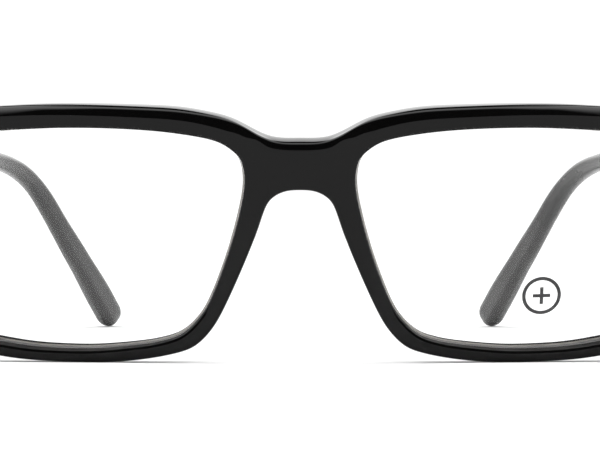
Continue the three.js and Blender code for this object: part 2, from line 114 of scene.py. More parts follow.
def eased(stations, places):
    """Values that ease from one (place, value) station to the next."""
    at = np.array([station[0] for station in stations], float)
    values = np.array([station[1] for station in stations], float)
    places = np.clip(np.asarray(places, float), at[0], at[-1])
    index = np.clip(np.searchsorted(at, places, side="right") - 1, 0, len(at) - 2)
    share = (places - at[index]) / (at[index + 1] - at[index])
    share = share * share * (3 - 2 * share)
    return values[index] * (1 - share) + values[index + 1] * share


def loop_normals(loop):
    """Unit normals of a closed anticlockwise loop, pointing to its inside."""
    along = np.roll(loop, -1, 0) - np.roll(loop, 1, 0)
    along /= np.linalg.norm(along, axis=1)[:, None]
    return np.stack([-along[:, 1], along[:, 0]], axis=1)


def anticlockwise(loop):
    after = np.roll(loop, -1, 0)
    area = np.sum(loop[:, 0] * after[:, 1] - after[:, 0] * loop[:, 1])
    return loop if area > 0 else loop[::-1]


def inside(points, loop):
    """Whether each point lies inside a closed loop (even-odd rule)."""
    x, y = points[:, 0][:, None], points[:, 1][:, None]
    ax, ay = loop[:, 0][None], loop[:, 1][None]
    bx, by = np.roll(loop[:, 0], -1)[None], np.roll(loop[:, 1], -1)[None]
    crosses = (ay > y) != (by > y)
    rise = np.where(by == ay, 1e-12, by - ay)
    hits = crosses & (x < (bx - ax) * (y - ay) / rise + ax)
    return hits.sum(1) % 2 == 1


# ---------- The curved face ----------


def face_depth(x, up):
    """How far the front face lies behind the leaning plane through the middle of the lenses."""
    away = np.abs(x)
    across = np.maximum(away, BRIDGE_HALF) - LENS_CENTRE[0]
    bowl = FACE_WRAP * across + (across**2 + (up - LENS_CENTRE[1]) ** 2) / (2 * LENS_RADIUS)
    slope = FACE_WRAP + (BRIDGE_HALF - LENS_CENTRE[0]) / LENS_RADIUS
    bridge = slope * (away**2 - BRIDGE_HALF**2) / (2 * BRIDGE_HALF)
    return bowl + np.where(away < BRIDGE_HALF, bridge, 0)


def smoothstep(value, start, end):
    share = np.clip((value - start) / (end - start), 0, 1)
    return share * share * (3 - 2 * share)


def inward(x, up):
    """The direction from the face into the front, as (across, back, up).

    The edges turn with the curve of the face. The upper and lower edges turn more the nearer they are to
    the temples; the outer ends don't turn sideways, so they meet the temples flush.
    """
    away = np.abs(x)
    slope = FACE_WRAP + (np.maximum(away, BRIDGE_HALF) - LENS_CENTRE[0]) / LENS_RADIUS
    sideways = slope * np.minimum(away / BRIDGE_HALF, 1) * np.sign(x)
    upwards = (up - LENS_CENTRE[1]) / LENS_RADIUS
    flush = 1 - smoothstep(away, *END_TURN)
    turn = np.minimum(away / EDGE_TURN_REACH, EDGE_TURN_MOST)
    direction = np.stack([-sideways * flush, np.ones_like(away), -upwards * turn], axis=-1)
    return direction / np.linalg.norm(direction, axis=-1, keepdims=True)


def on_face(x, up, depth):
    """Places on the front: across, up along its lean, and deep behind its face."""
    x, up, depth = np.broadcast_arrays(*[np.asarray(value, float) for value in (x, up, depth)])
    direction = inward(x, up)
    back = face_depth(x, up) + depth * direction[..., 1]
    rise = up + depth * direction[..., 2]
    y = back * math.cos(LEAN) - rise * math.sin(LEAN)
    z = back * math.sin(LEAN) + rise * math.cos(LEAN)
    return np.stack([x + depth * direction[..., 0], y, z], axis=-1)


# ---------- Outlines of the front (across, up), wearer's left half, as in the CAD ----------

HALF_OUTLINE = [
    (0, 36.85), (4.8, 37.3), (9.7, 39.9), (14.5, 41.46), (19.0, 42.3), (24.1, 42.72), (34.0, 43.05),
    (42.0, 42.98), (48.7, 42.57), (60.0, 41.65), (67.5, 40.9), (70.8, 39.7), (72.0, 36.8), (72.0, 31.5),
    (70.8, 28.6), (68.2, 26.6), (66.6, 22.5), (65.4, 16.0), (63.6, 8.5), (61.8, 4.4), (58.4, 1.6),
    (53.8, 0.45), (47.5, -0.35), (39.9, -0.6), (32.3, -0.5), (24.8, 0.3), (19.8, 1.4), (17.2, 2.6),
    (14.65, 5.25), (12.65, 8.65), (9.55, 15.55), (6.9, 22.25), (5.78, 25.55), (4.7, 27.4),
    (2.5, 28.65), (0, 28.9),
]
OPENING = [
    (8.87, 30.5), (9.55, 33.9), (11.0, 35.55), (13.3, 36.95), (18.1, 38.1), (24.1, 38.85), (33.8, 39.25),
    (43.6, 38.95), (52.0, 38.2), (58.6, 37.3), (61.8, 36.1), (63.2, 33.8), (63.4, 30.5), (62.7, 23.5),
    (61.3, 14.5), (59.9, 8.3), (58.3, 5.2), (55.4, 3.2), (50.0, 2.09), (44.9, 1.56), (39.8, 1.44),
    (34.8, 1.54), (29.8, 2.0), (24.6, 2.72), (22.3, 3.26), (20.2, 4.0), (18.2, 5.4), (16.65, 7.1),
    (15.47, 8.8), (13.83, 12.3), (11.38, 19.05), (9.55, 25.7),
]
WHOLE_OUTLINE = HALF_OUTLINE + [(-x, up) for x, up in HALF_OUTLINE[-2:0:-1]]
OUTLINE_STEPS = 8
OPENING_STEPS = 10


def outline_loop():
    return anticlockwise(spline(WHOLE_OUTLINE, OUTLINE_STEPS))


def opening_loop(side):
    return anticlockwise(spline([(side * x, up) for x, up in OPENING], OPENING_STEPS))


# ---------- Mesh helpers ----------


def make_object(name, places, faces):
    """A smooth-shaded object from design places, with its faces turned outwards."""
    mesh = bpy.data.meshes.new(name)
    mesh.from_pydata([tuple(place) for place in row(places)], [], [tuple(face) for face in faces])
    built = bmesh.new()
    built.from_mesh(mesh)
    bmesh.ops.remove_doubles(built, verts=built.verts, dist=1e-7)
    bmesh.ops.recalc_face_normals(built, faces=built.faces)
    built.to_mesh(mesh)
    built.free()
    mesh.shade_smooth()
    piece = bpy.data.objects.new(name, mesh)
    bpy.context.scene.collection.objects.link(piece)
    return piece


def apply_modifiers(piece):
    """The piece's mesh as its modifiers leave it, with no modifier kept."""
    graph = bpy.context.evaluated_depsgraph_get()
    done = bpy.data.meshes.new_from_object(piece.evaluated_get(graph))
    piece.modifiers.clear()
    old = piece.data
    piece.data = done
    bpy.data.meshes.remove(old)


def combine(piece, other, operation):
    """Joins or cuts one piece with another, which is used up."""
    boolean = piece.modifiers.new("combine", "BOOLEAN")
    boolean.operation = operation
    boolean.solver = "EXACT"
    boolean.object = other
    bpy.context.view_layer.update()
    apply_modifiers(piece)
    used = other.data
    bpy.data.objects.remove(other)
    bpy.data.meshes.remove(used)


def bevelled(piece, width, segments=3, angle=35):
    bevel = piece.modifiers.new("bevel", "BEVEL")
    bevel.width = width * MM
    bevel.segments = segments
    bevel.limit_method = "ANGLE"
    bevel.angle_limit = math.radians(angle)
    bevel.harden_normals = False
    bpy.context.view_layer.update()
    apply_modifiers(piece)


def soften(piece, angle=38):
    """Smooth shading that keeps real corners and lets the large faces set the normals."""
    piece.data.shade_smooth()
    piece.data.set_sharp_from_angle(angle=math.radians(angle))
    weighted = piece.modifiers.new("weighted normals", "WEIGHTED_NORMAL")
    weighted.mode = "FACE_AREA"
    weighted.keep_sharp = True
    bpy.context.view_layer.update()
    apply_modifiers(piece)


def skin(rings):
    """Faces over rings of equal length, closed at both ends, as (places, faces)."""
    rings = [np.asarray(ring, float) for ring in rings]
    sides = len(rings[0])
    places = np.concatenate(rings)
    faces = []
    for r in range(len(rings) - 1):
        for i in range(sides):
            a, b = r * sides + i, r * sides + (i + 1) % sides
            faces.append((a, b, b + sides, a + sides))
    faces.append(tuple(range(sides))[::-1])
    faces.append(tuple((len(rings) - 1) * sides + i for i in range(sides)))
    return places, faces


def revolved(profile, sides=40):
    """A solid turned round +Z from (radius, height) points that start and end on the axis."""
    turns = np.linspace(0, 2 * math.pi, sides, endpoint=False)
    rings = []
    for radius, height in profile:
        radius = max(radius, 1e-4)
        ring = [np.cos(turns) * radius, np.sin(turns) * radius, np.full(sides, height)]
        rings.append(np.stack(ring, axis=1))
    return skin(rings)


# ---------- Plates that follow the face ----------

CORNER_STEPS = 6  # rows round each rounded corner
LEG_LIMIT = 0.7  # the most of a side that a rounded corner takes
GRID_MARGIN = 0.55  # clearance of the inner points from the edges, as a share of their spacing


def profile_rows(corners, legs, count):
    """An edge profile as rows of (inset, depth) for each point of a loop.

    corners are (inset, depth) pairs, each a number or one value per loop point; legs are the lengths
    over which each inner corner is rounded, 0 for a sharp one.
    """
    full = []
    for corner in corners:
        full.append(np.stack([np.broadcast_to(value, count) for value in corner], axis=-1).astype(float))
    rows = [full[0]]
    for i in range(1, len(full) - 1):
        leg = np.broadcast_to(legs[i - 1], count)[:, None]
        if np.all(leg == 0):
            rows.append(full[i])
            continue
        ends = []
        for neighbour in (full[i - 1], full[i + 1]):
            away = neighbour - full[i]
            length = np.linalg.norm(away, axis=1)[:, None]
            ends.append(full[i] + away * np.minimum(leg / length, LEG_LIMIT))
        for share in np.linspace(0, 1, CORNER_STEPS):
            rows.append((1 - share) ** 2 * ends[0] + 2 * share * (1 - share) * full[i] + share**2 * ends[1])
    rows.append(full[-1])
    return rows


def cap_faces(loops, inner_points):
    """Triangles over the area between an outer loop and the holes in it, as indices into all points."""
    points = np.concatenate([*loops, inner_points])
    edges = []
    start = 0
    for loop in loops:
        count = len(loop)
        edges += [(start + i, start + (i + 1) % count) for i in range(count)]
        start += count
    result = delaunay_2d_cdt([Vector(point) for point in points], edges, [], 0, 1e-9, True)
    source = [found[0] for found in result[3]]
    triangles = np.array([[source[i] for i in face] for face in result[2]])
    middles = points[triangles].mean(1)
    kept = inside(middles, loops[0])
    for hole in loops[1:]:
        kept &= ~inside(middles, hole)
    return triangles[kept]


def grid_points(loops, spacing, margin):
    """A triangular grid of points inside the outer loop, outside the holes and clear of all edges."""
    low, high = loops[0].min(0), loops[0].max(0)
    rows_of_points = []
    rise = spacing * math.sqrt(3) / 2
    for r, up in enumerate(np.arange(low[1], high[1], rise)):
        xs = np.arange(low[0], high[0], spacing)
        if low[0] < 0 < high[0]:
            xs = np.arange(0, high[0], spacing) + (spacing / 2 if r % 2 else 0)
            xs = np.concatenate([-xs[xs > 0], xs])
        rows_of_points.append(np.stack([xs, np.full(len(xs), up)], axis=1))
    points = np.concatenate(rows_of_points)
    keep = inside(points, loops[0])
    for hole in loops[1:]:
        keep &= ~inside(points, hole)
    points = points[keep]
    edge = np.concatenate(loops)
    nearest = np.array([np.min(np.sum((edge - point) ** 2, axis=1)) for point in points])
    return points[nearest > margin**2]


def face_plate(name, loops, profiles, spacing):
    """A plate that follows the face: capped front and back, with an edge profile along each loop.

    Each profile is a list of rows of (inset, depth), from the front face round to the back face.
    """
    places, faces, front_loops, back_loops = [], [], [], []
    front_index, back_index = [], []
    start = 0
    for number, (loop, rows) in enumerate(zip(loops, profiles)):
        normals = loop_normals(loop) * (1 if number == 0 else -1)
        count = len(loop)
        for rank, line in enumerate(rows):
            flat = loop + normals * line[:, :1]
            places.append(on_face(flat[:, 0], flat[:, 1], line[:, 1]))
            if rank == 0:
                front_loops.append(flat)
                front_index += list(range(start, start + count))
            if rank == len(rows) - 1:
                back_loops.append(flat)
                last = start + rank * count
                back_index += list(range(last, last + count))
        for rank in range(len(rows) - 1):
            for i in range(count):
                a, b = start + rank * count + i, start + rank * count + (i + 1) % count
                faces.append((a, b, b + count, a + count))
        start += len(rows) * count
    for edge_loops, index, depth in (
        (front_loops, front_index, profiles[0][0][0, 1]),
        (back_loops, back_index, profiles[0][-1][0, 1]),
    ):
        extra = grid_points(edge_loops, spacing, spacing * GRID_MARGIN)
        triangles = cap_faces(edge_loops, extra)
        index = np.array(index + list(range(start, start + len(extra))))
        places.append(on_face(extra[:, 0], extra[:, 1], depth))
        faces += [tuple(index[triangle]) for triangle in triangles]
        start += len(extra)
    return make_object(name, np.concatenate(places), faces)


# ---------- Front ----------

# Facet along the upper edge: its height at each place across. It pinches where the brow meets the bridge.
FACET_HEIGHT = [
    (0, 1.3), (4.4, 1.25), (6.4, 0.9), (8.5, 1.5), (11.6, 1.85), (17, 1.75), (40, 1.7), (60, 1.6),
]
FACET_DEPTH = [(0, 0.6), (30, 0.6), (40, 0.75), (48, 1.0), (60, 1.1)]
FACET_ROUND = [
    (0, 0.5), (6.4, 0.38), (12, 0.55), (20, 0.75), (30, 0.8), (40, 1.05), (48, 1.4), (60, 1.5),
]
SHOULDER_INSET = 0.2
SHOULDER_DEPTH = 2.2
PLAIN_EDGE = 0.28
BACK_EDGE = 0.5


def outer_profile(loop):
    """Edge of the front: a facet along the upper edge, small rounded edges elsewhere."""
    away = np.abs(loop[:, 0])
    outward_up = -loop_normals(loop)[:, 1]
    above = smoothstep(loop[:, 1], 33.0, 36.0) * smoothstep(outward_up, 0.25, 0.65)
    width = PLAIN_EDGE + (eased(FACET_HEIGHT, away) - PLAIN_EDGE) * above
    depth = PLAIN_EDGE + (eased(FACET_DEPTH, away) - PLAIN_EDGE) * above
    legs = PLAIN_EDGE + (eased(FACET_ROUND, away) - PLAIN_EDGE) * above
    corners = [
        (width + 0.25, 0), (width, 0), (SHOULDER_INSET * above, depth), (0, SHOULDER_DEPTH),
        (0, FRONT_THICKNESS), (BACK_EDGE + 0.1, FRONT_THICKNESS),
    ]
    return profile_rows(corners, [0.12, legs, 0.1 + 1.1 * above, BACK_EDGE], len(loop))


OPENING_EDGE = {"inset": 0.36, "depth": 0.28}
GROOVE_DEPTH = 0.75


def opening_profile(loop):
    """Edge of a lens opening: small front bevel, wall, V groove for the lens, wall, rounded back."""
    low = LENS_DEPTH - LENS_THICKNESS / 2 - 0.05
    high = LENS_DEPTH + LENS_THICKNESS / 2 + 0.05
    corners = [
        (OPENING_EDGE["inset"] + 0.15, 0), (OPENING_EDGE["inset"], 0), (0, OPENING_EDGE["depth"]), (0, low),
        (GROOVE_DEPTH, LENS_DEPTH), (0, high), (0, FRONT_THICKNESS), (0.45, FRONT_THICKNESS),
    ]
    return profile_rows(corners, [0.06, 0.08, 0.06, 0.1, 0.06, 0.35], len(loop))


END_HEIGHT = 9.6
ROOT_LOW, ROOT_HIGH = (64.6, 28.9), (71.75, 39.2)  # where the end piece grows out of the front
ROOT_DEPTHS = (1.5, 3.6)
BUTT = {"inner": 67.7, "outer": 72.0}  # the block that the temple meets
BUTT_RINGS = ((4.6, 0.0, 0.55), (6.2, 0.0, 0.1), (7.3, 0.0, 0.0), (7.52, 0.07, 0.0), (7.6, 0.25, 0.0))
LAND = {"inner": 63.9, "outer": 68.6}  # the step that carries the hinge
LAND_RINGS = ((1.0, 0.0), (5.35, 0.0), (5.53, 0.07), (5.6, 0.25))


def rounded_rectangle(low, high, radius, steps=7):
    """Points round a rectangle with rounded corners, anticlockwise."""
    centres = [(high[0], high[1]), (low[0], high[1]), (low[0], low[1]), (high[0], low[1])]
    points = []
    for quarter, (cx, cy) in enumerate(centres):
        cx += -radius if cx == high[0] else radius
        cy += -radius if cy == high[1] else radius
        for turn in np.linspace(quarter * math.pi / 2, (quarter + 1) * math.pi / 2, steps):
            points.append((cx + radius * math.cos(turn), cy + radius * math.sin(turn)))
    return np.array(points)


def standing_ring(low, high, radius, y):
    """A rounded rectangle standing across the design at a place y behind its origin."""
    section = rounded_rectangle(low, high, radius)
    return np.stack([section[:, 0], np.full(len(section), y), section[:, 1]], axis=1)


def end_block(side):
    """The end piece behind the front: sculpted from the rim back to the face that the temple meets."""
    bottom, top = PIVOT[2] - END_HEIGHT / 2, PIVOT[2] + END_HEIGHT / 2
    root = rounded_rectangle(ROOT_LOW, ROOT_HIGH, 1.6)
    rings = [on_face(root[:, 0], root[:, 1], depth) for depth in ROOT_DEPTHS]
    for y, inset, grow in BUTT_RINGS:
        low = (BUTT["inner"] + inset, bottom - grow + inset)
        high = (BUTT["outer"] - inset, top + grow - inset)
        rings.append(standing_ring(low, high, 1.1, y))
    places, faces = skin([ring * (side, 1, 1) for ring in rings])
    block = make_object("end block", places, faces)
    rings = []
    for y, inset in LAND_RINGS:
        low = (LAND["inner"] + inset, bottom + inset)
        high = (LAND["outer"], top - inset)
        rings.append(standing_ring(low, high, 0.9, y))
    places, faces = skin([ring * (side, 1, 1) for ring in rings])
    combine(block, make_object("land", places, faces), "UNION")
    return block


def make_front():
    loops = [outline_loop(), opening_loop(1), opening_loop(-1)]
    profiles = [outer_profile(loops[0]), opening_profile(loops[1]), opening_profile(loops[2])]
    front = face_plate("acetate_front", loops, profiles, 1.0)
    for side in SIDES.values():
        combine(front, end_block(side), "UNION")
    soften(front)
    return front


# ---------- Lenses ----------

LENS_TIP = 0.55


def make_lens(label, side):
    """A clear demo lens: curved like the front, with a V edge that sits in the rim's groove."""
    loop = opening_loop(side)
    front, back = LENS_DEPTH - LENS_THICKNESS / 2, LENS_DEPTH + LENS_THICKNESS / 2
    corners = [
        (0.25, front), (0.03, front), (-LENS_TIP, LENS_DEPTH),
        (-0.04, back - 0.13), (0.18, back), (0.43, back),
    ]
    rows = profile_rows(corners, [0.05, 0.12, 0.02, 0.02], len(loop))
    lens = face_plate(f"demo_lens_{label}", [loop], [rows], 2.4)
    soften(lens, 25)
    return lens


# ---------- Nose pads ----------

PAD_LOW = np.array([12.5, 10.4])
PAD_HIGH = np.array([7.2, 27.0])
PAD_WIDTH = 2.2
PAD_DEPTH = 4.4


def make_nose_pad(label, side):
    """A long drop-shaped acetate pad cemented behind the inner rim."""
    rings = []
    turns = np.linspace(0, 2 * math.pi, 36, endpoint=False)
    for along in (1 - np.cos(np.linspace(0, math.pi, 40))) / 2:
        fullness = math.sqrt(max(1 - (2 * along - 1) ** 2, 0.0009))
        x, up = PAD_LOW + (PAD_HIGH - PAD_LOW) * along
        depth = PAD_DEPTH * fullness * (1.1 - 0.3 * along)
        width = PAD_WIDTH * (0.35 + 0.65 * fullness) / 2
        # A squarish oval, flat where it meets the rim.
        across = width * np.sign(np.cos(turns)) * np.abs(np.cos(turns)) ** 0.8
        deep = depth * (np.sign(np.sin(turns)) * np.abs(np.sin(turns)) ** 0.8 + 1) / 2
        lean = 0.3 * fullness * deep / max(depth, 1e-3)
        rings.append(on_face(x + across + lean, np.full(len(turns), up), FRONT_THICKNESS - 0.25 + deep))
    places, faces = skin([ring * (side, 1, 1) for ring in rings])
    return make_object(f"acetate_nose_pad_{label}", places, faces)


# ---------- Temples ----------

TEMPLE_LINE = [
    (69.7, TEMPLE_FRONT, 34.9), (69.7, 16, 34.9), (69.5, 24, 35.05), (68.4, 42, 35.6), (66.0, 64, 36.5),
    (63.3, 82, 36.68), (60.25, 93.8, 35.15), (57.0, 102.2, 30.95), (53.35, 110.8, 23.1),
    (49.75, 120.4, 14.95), (46.25, 130.2, 6.7), (43.95, 137.1, 0.95),
]
TEMPLE_HEIGHTS = [(0, 9.5), (14, 9.2), (50, 5.4), (76, 3.5), (92, 4.0), (104, 4.4), (120, 5.3), (136, 6.2)]
TEMPLE_THICKNESSES = [(0, 4.2), (20, 4.1), (76, 3.3), (110, 3.6), (134, 4.5)]
TEMPLE_CORNERS = [(0, 1.0), (30, 1.1), (80, 1.5), (110, 1.6), (136, 1.9)]
TEMPLE_TWISTS = [(0, 0), (78, 0), (105, 0.24), (134, 0.24)]
TIP_ROUND = 4.7
TIP_FULLNESS = 3.1
TIP_RISE = 0.67
STRAIGHT_END = 8.0


def temple_sections():
    """Stations along the temple, from hinge to tip: (place, outward, upward, height, thickness, corner)."""
    line = spline(TEMPLE_LINE, 60, closed=False)
    steps = np.linalg.norm(np.diff(line, axis=0), axis=1)
    distance = np.concatenate([[0], np.cumsum(steps)])
    total = distance[-1]
    body = np.concatenate([[0.0, 0.08, 0.25], np.linspace(0.6, total - TIP_ROUND, 150)])
    tip = total - TIP_ROUND * (1 - np.sin(np.linspace(0, math.pi / 2, 16)[1:]))
    stations = np.concatenate([body, tip])
    along = np.gradient(line, distance, axis=0)
    sections = []
    for s in stations:
        place = np.array([np.interp(s, distance, line[:, axis]) for axis in range(3)])
        ahead = np.array([np.interp(s, distance, along[:, axis]) for axis in range(3)])
        if s < STRAIGHT_END:
            ahead = np.array([0.0, 1.0, 0.0])
        ahead /= np.linalg.norm(ahead)
        outward = np.cross(ahead, (0, 0, 1))
        outward /= np.linalg.norm(outward)
        upward = np.cross(outward, ahead)
        twist = float(eased(TEMPLE_TWISTS, s))
        outward, upward = (
            outward * math.cos(twist) + upward * math.sin(twist),
            upward * math.cos(twist) - outward * math.sin(twist),
        )
        into = min(max(s - (total - TIP_ROUND), 0) / TIP_ROUND, 0.9995)
        edge = 0.25 * (1 - min(s, 0.25) / 0.25) ** 2
        end = math.sqrt(1 - into**TIP_FULLNESS)
        height = float(eased(TEMPLE_HEIGHTS, s)) * end - 2 * edge
        thickness = float(eased(TEMPLE_THICKNESSES, s)) * end - 2 * edge
        radius = min(float(eased(TEMPLE_CORNERS, s)), 0.49 * height, 0.49 * thickness)
        place = place + upward * TIP_RISE * into**2
        sections.append((place, outward, upward, height, thickness, radius))
    return sections


def make_temple(label, side):
    rings = []
    for place, outward, upward, height, thickness, radius in temple_sections():
        outline = rounded_rectangle((-thickness / 2, -height / 2), (thickness / 2, height / 2), radius, 9)
        rings.append(place + outline[:, :1] * outward + outline[:, 1:] * upward)
    places, faces = skin([ring * (side, 1, 1) for ring in rings])
    temple = make_object(f"acetate_temple_{label}", places, faces)
    soften(temple, 50)
    return temple


# ---------- Hinges ----------

KNUCKLE = {"radius": 1.4, "height": 1.08, "pitch": 1.2}
STACK_BOTTOM = PIVOT[2] - 2.85 - 0.09
SCREW = {"radius": 0.7, "head": 1.15, "head_height": 0.7}
SLOT_HALF = 0.17  # half the width of the screw's slot
WEB_INSET = 0.02  # how far a web stays inside its knuckle's ends
PLATE_BEVEL = 0.25
PLATE_INNER, PLATE_OUTER = 64.15, 67.15  # the front hinge plate's sides
PLATE_FACE = 5.72  # how far back its rear face lies
PIN_ACROSS = 65.2  # how far out the front pins stand
TEMPLE_INNER = PIVOT[0] + 1.6  # the temple's inner face, which its hinge plate is let into


def box_piece(low, high, bevel=0.15, segments=3):
    """A bevelled block between two corners."""
    low, high = np.array(low, float), np.array(high, float)
    corners = [(x, y, z) for x in (low[0], high[0]) for y in (low[1], high[1]) for z in (low[2], high[2])]
    quads = [(0, 1, 3, 2), (4, 6, 7, 5), (0, 4, 5, 1), (2, 3, 7, 6), (0, 2, 6, 4), (1, 5, 7, 3)]
    block = make_object("block", corners, quads)
    if bevel:
        bevelled(block, bevel, segments)
    return block


def turned_piece(profile, place, axis="z", sides=48):
    """A turned solid set at a place, with its axis along z, y (back) or x (outwards)."""
    places, faces = revolved(profile, sides)
    if axis == "y":
        places = places[:, [0, 2, 1]]
    if axis == "x":
        places = places[:, [2, 1, 0]]
    return make_object("turned", places + np.array(place), faces)


def knuckle(number):
    radius, height = KNUCKLE["radius"], KNUCKLE["height"]
    chamfer = 0.12
    profile = [(0, 0), (radius - chamfer, 0), (radius, chamfer), (radius, height - chamfer),
               (radius - chamfer, height), (0, height)]
    return turned_piece(profile, (PIVOT[0], PIVOT[1], STACK_BOTTOM + number * KNUCKLE["pitch"]))


def mirror_piece(piece):
    """Turns a left-hand piece into the right-hand one."""
    mesh = piece.data
    flipped = bmesh.new()
    flipped.from_mesh(mesh)
    bmesh.ops.scale(flipped, vec=(-1, 1, 1), verts=flipped.verts)
    bmesh.ops.reverse_faces(flipped, faces=flipped.faces)
    flipped.to_mesh(mesh)
    flipped.free()


def finished(piece, name, side, angle=35):
    if side < 0:
        mirror_piece(piece)
    soften(piece, angle)
    piece.name = name
    piece.data.name = name
    return piece


def hinge_half(plate, numbers, web_near, web_far):
    """A hinge plate with its knuckles, each joined to it by a web between two (across, back) corners."""
    for number in numbers:
        low = STACK_BOTTOM + number * KNUCKLE["pitch"] + WEB_INSET
        high = STACK_BOTTOM + number * KNUCKLE["pitch"] + KNUCKLE["height"] - WEB_INSET
        combine(plate, box_piece((*web_near, low), (*web_far, high), 0), "UNION")
        combine(plate, knuckle(number), "UNION")
    return plate


def make_front_hinge(label, side):
    low = (PLATE_INNER, 4.4, PIVOT[2] - 4.35)
    high = (PLATE_OUTER, PLATE_FACE, PIVOT[2] + 4.35)
    plate = box_piece(low, high, PLATE_BEVEL)
    web_near = (PIVOT[0] - 1.15, 5.4)
    web_far = (PIVOT[0] + 1.15, PIVOT[1])
    return finished(hinge_half(plate, (0, 2, 4), web_near, web_far), f"hinge_front_{label}", side)


def make_temple_hinge(label, side):
    low = (TEMPLE_INNER - 0.1, TEMPLE_FRONT + 1.0, PIVOT[2] - 2.9)
    high = (TEMPLE_INNER + 0.9, TEMPLE_FRONT + 10.2, PIVOT[2] + 2.9)
    plate = box_piece(low, high, PLATE_BEVEL)
    web_near = (PIVOT[0] - 0.9, TEMPLE_FRONT + 0.1)
    web_far = (TEMPLE_INNER + 0.4, TEMPLE_FRONT + 2.8)
    return finished(hinge_half(plate, (1, 3), web_near, web_far), f"hinge_temple_{label}", side)


def make_screw(label, side):
    top = STACK_BOTTOM + 4 * KNUCKLE["pitch"] + KNUCKLE["height"]
    radius, head, height = SCREW["radius"], SCREW["head"], SCREW["head_height"]
    profile = [
        (0, STACK_BOTTOM - 0.15), (radius * 0.8, STACK_BOTTOM - 0.15), (radius, STACK_BOTTOM),
        (radius, top), (head * 0.94, top), (head, top + 0.08), (head, top + height * 0.55),
        (head * 0.9, top + height * 0.8), (head * 0.6, top + height * 0.96), (0, top + height),
    ]
    screw = turned_piece(profile, (PIVOT[0], PIVOT[1], 0))
    slot_low = (PIVOT[0] - 2, PIVOT[1] - SLOT_HALF, top + height * 0.5)
    slot_high = (PIVOT[0] + 2, PIVOT[1] + SLOT_HALF, top + 2)
    combine(screw, box_piece(slot_low, slot_high, 0), "DIFFERENCE")
    return finished(screw, f"screw_{label}", side, 30)


def make_pin(name, place, axis, side):
    """A domed pin whose head stands just proud of its hinge plate."""
    profile = [
        (0, -1.6), (0.45, -1.6), (0.45, -0.1), (0.72, -0.1), (0.75, 0.02), (0.68, 0.14), (0.5, 0.23),
        (0.25, 0.28), (0, 0.3),
    ]
    if axis == "x":
        profile = [(radius, -height) for radius, height in profile]
    return finished(turned_piece(profile, place, axis), name, side, 40)


# ---------- Lens mark ----------


MARK_CENTRE = np.array([40.1, 10.8])
MARK_RADIUS = 3.3
MARK_LINE = 0.6


def make_lens_mark():
    """A generic printed centring mark on the left demo lens: a ring round a small cross."""
    depth = LENS_DEPTH - LENS_THICKNESS / 2 - 0.012
    places, faces = [], []

    def strip(inner, outer):
        start = sum(len(group) for group in places)
        count = len(inner)
        for line in (inner, outer):
            places.append(on_face(line[:, 0], line[:, 1], depth))
        for i in range(count - 1):
            faces.append((start + i, start + i + 1, start + count + i + 1, start + count + i))

    turns = np.linspace(0, 2 * math.pi, 97)
    circle = np.stack([np.cos(turns), np.sin(turns)], axis=1)
    strip(MARK_CENTRE + circle * (MARK_RADIUS - MARK_LINE), MARK_CENTRE + circle * MARK_RADIUS)
    arm = np.linspace(-MARK_RADIUS * 0.45, MARK_RADIUS * 0.45, 9)[:, None]
    for out, across in (((1, 0), (0, 1)), ((0, 1), (1, 0))):
        middle = MARK_CENTRE + arm * np.array(out)
        offset = np.array(across) * MARK_LINE / 2
        strip(middle - offset, middle + offset)
    return make_object("printed_lens_mark", np.concatenate(places), faces)


# ---------- Materials ----------


def new_material(name):
    material = bpy.data.materials.new(name)
    material.use_nodes = True
    shader = material.node_tree.nodes["Principled BSDF"]
    return material, material.node_tree, shader


def node(tree, kind, **values):
    made = tree.nodes.new(kind)
    for key, value in values.items():
        if key in made.inputs:
            made.inputs[key].default_value = value
        else:
            setattr(made, key, value)
    return made


def object_place(tree, scale):
    """Object coordinates stretched by a scale for each axis."""
    place = node(tree, "ShaderNodeTexCoord")
    mapping = node(tree, "ShaderNodeMapping")
    mapping.inputs["Scale"].default_value = scale
    tree.links.new(place.outputs["Object"], mapping.inputs["Vector"])
    return mapping.outputs["Vector"]


def ranged(tree, source, low, high):
    ramp = node(tree, "ShaderNodeMapRange")
    ramp.inputs["To Min"].default_value = low
    ramp.inputs["To Max"].default_value = high
    tree.links.new(source, ramp.inputs["Value"])
    return ramp.outputs["Result"]


def acetate(name, tone, roughness, refraction):
    """Polished black cellulose acetate: deep black, with faint clouding, buffing lines and dust."""
    material, tree, shader = new_material(name)
    shader.inputs["IOR"].default_value = refraction
    cloud = node(tree, "ShaderNodeTexNoise", Scale=90.0, Detail=3.0)
    tree.links.new(object_place(tree, (1, 1, 1)), cloud.inputs["Vector"])
    colours = node(tree, "ShaderNodeValToRGB")
    colours.color_ramp.elements[0].color = (tone * 0.6, tone * 0.6, tone * 0.65, 1)
    colours.color_ramp.elements[1].color = (tone * 1.5, tone * 1.45, tone * 1.4, 1)
    tree.links.new(cloud.outputs["Fac"], colours.inputs["Fac"])
    tree.links.new(colours.outputs["Color"], shader.inputs["Base Color"])
    smear = node(tree, "ShaderNodeTexNoise", Scale=260.0, Detail=4.0)
    tree.links.new(object_place(tree, (1, 1, 0.6)), smear.inputs["Vector"])
    polish = ranged(tree, smear.outputs["Fac"], roughness * 0.6, roughness * 1.5)
    tree.links.new(polish, shader.inputs["Roughness"])
    buff = node(tree, "ShaderNodeTexNoise", Scale=400.0, Detail=2.0)
    tree.links.new(object_place(tree, (0.15, 1, 1)), buff.inputs["Vector"])
    bump = node(tree, "ShaderNodeBump", Strength=0.004, Distance=0.0002)
    tree.links.new(buff.outputs["Fac"], bump.inputs["Height"])
    tree.links.new(bump.outputs["Normal"], shader.inputs["Normal"])
    return material


COATING = 0.1  # share of the bare surface's reflection that the coated lens keeps, seen square on


